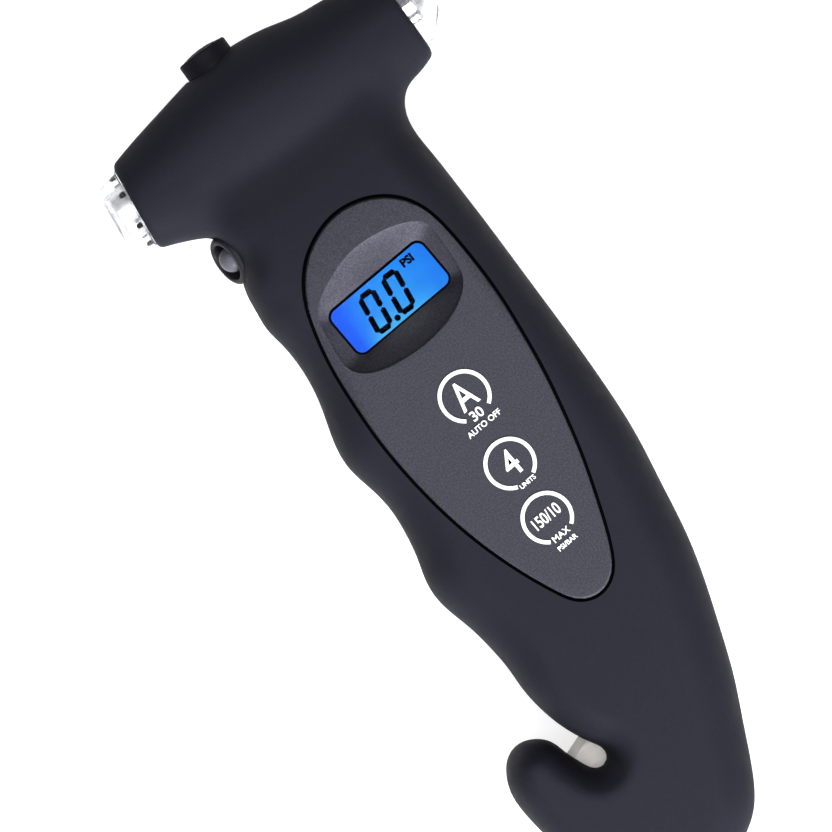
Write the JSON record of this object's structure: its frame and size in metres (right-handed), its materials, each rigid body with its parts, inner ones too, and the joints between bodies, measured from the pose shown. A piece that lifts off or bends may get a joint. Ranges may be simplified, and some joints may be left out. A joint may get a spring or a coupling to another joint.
{
  "type": "tire pressure gauge",
  "caption": "Digital tyre pressure gauge with hammer-shaped head, lit valve nozzle, capped glass-breaker point and a hooked belt cutter.",
  "frame": {"origin": "middle of the overall outline, on the surface that the gauge lies on with its display up", "axes": "+Z the way the display faces, +Y up the handle to the head, +X the display's right"},
  "size_m": [0.0691, 0.1661, 0.0262],
  "materials": {
    "soft_touch": "soft touch coating",
    "panel": "fine grained",
    "window": "polished",
    "lcd": "backlit blue",
    "light_guide": "polished",
    "elastomer": "matte",
    "white_plastic": "moulded",
    "circuit_board": "solder mask",
    "screw_steel": "zinc plated",
    "resin": "resin",
    "can_metal": "drawn",
    "chuck_metal": "plated",
    "brass": "turned",
    "clear_plastic": "clear moulded",
    "lamp": "clear",
    "bright_metal": "polished",
    "tip_steel": "hardened",
    "button_black": "satin",
    "switch_plastic": "moulded",
    "bezel": "satin",
    "trigger_grey": "satin",
    "blade_steel": "ground",
    "cell_jacket": "printed jacket",
    "contact_metal": "nickel plated",
    "door": "fine texture",
    "wire": "insulation"
  },
  "bodies": {
    "housing": {"front_shell": "soft_touch", "rear_shell": "soft_touch", "panel_plate": "panel", "display_window": "window", "lcd_glass": "lcd", "backlight_guide": "light_guide", "contact_strips": "elastomer", "display_frame": "white_plastic", "main_board": "circuit_board", "board_screws": "screw_steel", "controller_chip": "resin", "timing_crystal": "can_metal", "nozzle_chuck": "chuck_metal", "nozzle_gasket": "elastomer", "valve_depressor": "brass", "nozzle_collar": "clear_plastic", "lamp_board": "circuit_board", "lamps": "lamp", "sensor_seal": "elastomer", "pressure_sensor": "can_metal", "sensor_board": "circuit_board", "tip_collar": "bright_metal", "breaker_tip": "tip_steel", "lamp_switch": "switch_plastic", "switch_board": "circuit_board", "trigger_bezel": "bezel", "trigger_switch": "switch_plastic", "trigger_board": "circuit_board", "cutter_blade": "blade_steel", "blade_dowels": "screw_steel", "battery_cells": "cell_jacket", "battery_springs": "contact_metal", "battery_plates": "contact_metal", "housing_screws": "screw_steel", "battery_leads": "wire", "sensor_leads": "wire"},
    "lamp_button": {"lamp_button": "button_black"},
    "trigger": {"trigger_button": "trigger_grey"},
    "battery_door": {"battery_door": "door"},
    "guard_cap": {"guard_cap": "clear_plastic"}
  },
  "joints": [
    {"name": "lamp_button_push", "type": "slide", "parent": "housing", "child": "lamp_button", "axis": [0, -1, 0], "range_m": [0, 0.0012], "stiffness_N_per_m": 1200, "springref_m": -0.0003},
    {"name": "trigger_push", "type": "slide", "parent": "housing", "child": "trigger", "axis": [0.9135, 0, -0.4067], "range_m": [0, 0.0008], "stiffness_N_per_m": 1500, "springref_m": -0.0003},
    {"name": "battery_door_lever", "type": "hinge", "parent": "housing", "child": "battery_door", "pos_m": [-0.0017, 0.02245, 0], "axis": [1, 0, 0], "range_deg": [0, 60]},
    {"name": "guard_cap_pull", "type": "slide", "parent": "housing", "child": "guard_cap", "axis": [1, 0, 0], "range_m": [0, 0.012]}
  ]
}
